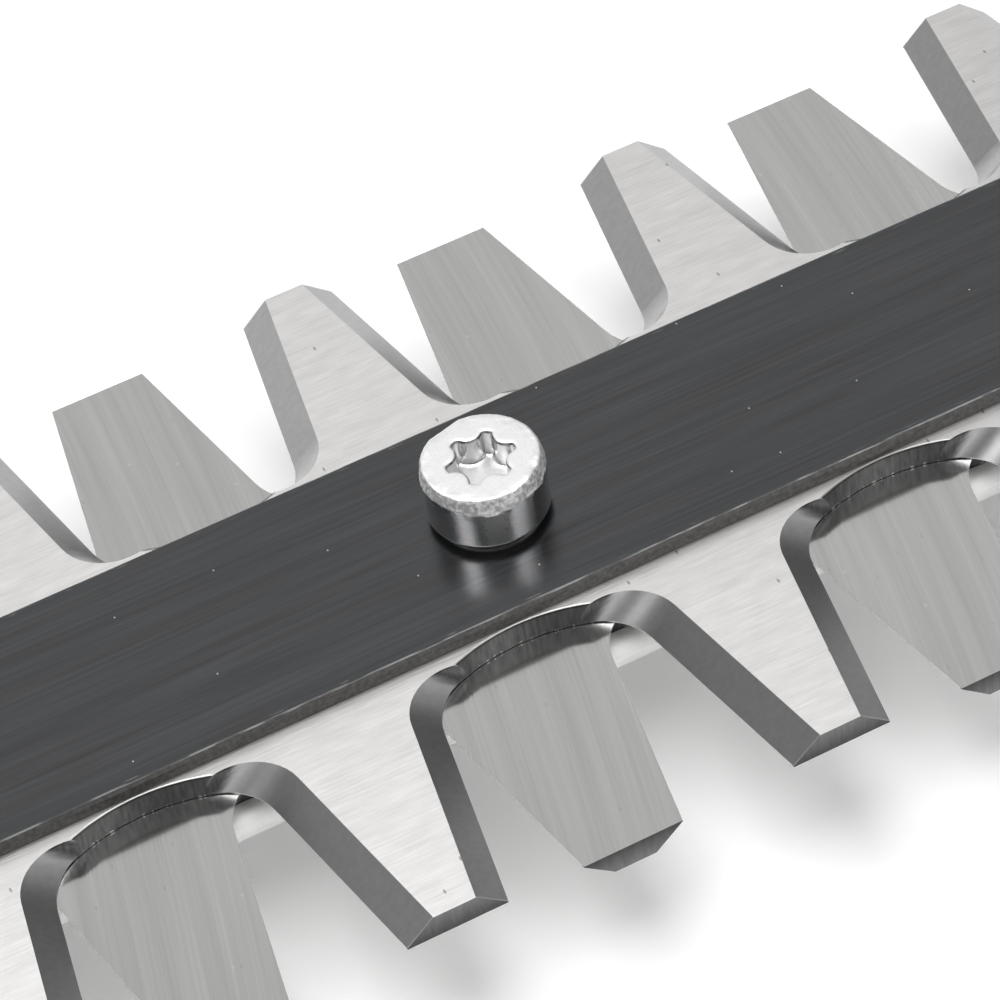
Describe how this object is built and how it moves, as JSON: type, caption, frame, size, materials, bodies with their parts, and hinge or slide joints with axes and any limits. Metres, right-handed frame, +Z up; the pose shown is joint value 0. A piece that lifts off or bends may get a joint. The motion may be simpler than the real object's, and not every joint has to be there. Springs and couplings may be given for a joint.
{
  "type": "hedge trimmer blade",
  "caption": "Double-sided reciprocating hedge trimmer cutter bar: two toothed blades sliding between two bars.",
  "frame": {"origin": "on the guide bar's top face, midway between its two mounting holes", "axes": "+X along the blades to the free end, +Z up out of the guide bar's top face, on the screw heads' side"},
  "size_m": [0.5388, 0.0658, 0.0218],
  "materials": {
    "blackened_steel": "satin, blackened, brushed along its length",
    "blade_steel": "ground",
    "bright_steel": "satin",
    "zinc_steel": "bright zinc plated"
  },
  "bodies": {
    "bars": {"guide_bar": "blackened_steel", "under_bar": "bright_steel", "screw_1": "zinc_steel", "screw_2": "zinc_steel", "screw_3": "zinc_steel", "screw_4": "zinc_steel", "screw_5": "zinc_steel", "sleeve_1": "zinc_steel", "sleeve_2": "zinc_steel", "sleeve_3": "zinc_steel", "sleeve_4": "zinc_steel", "sleeve_5": "zinc_steel", "washer_1": "zinc_steel", "washer_2": "zinc_steel", "washer_3": "zinc_steel", "washer_4": "zinc_steel", "washer_5": "zinc_steel", "nut_1": "zinc_steel", "nut_2": "zinc_steel", "nut_3": "zinc_steel", "nut_4": "zinc_steel", "nut_5": "zinc_steel"},
    "upper_cutter": {"upper_blade": "blade_steel"},
    "lower_cutter": {"lower_blade": "blade_steel"}
  },
  "joints": [
    {"name": "upper_blade_slide", "type": "slide", "parent": "bars", "child": "upper_cutter", "axis": [1, 0, 0], "range_m": [-0.0088, 0.0072]},
    {"name": "lower_blade_slide", "type": "slide", "parent": "bars", "child": "lower_cutter", "axis": [1, 0, 0], "range_m": [-0.0072, 0.0088]}
  ]
}
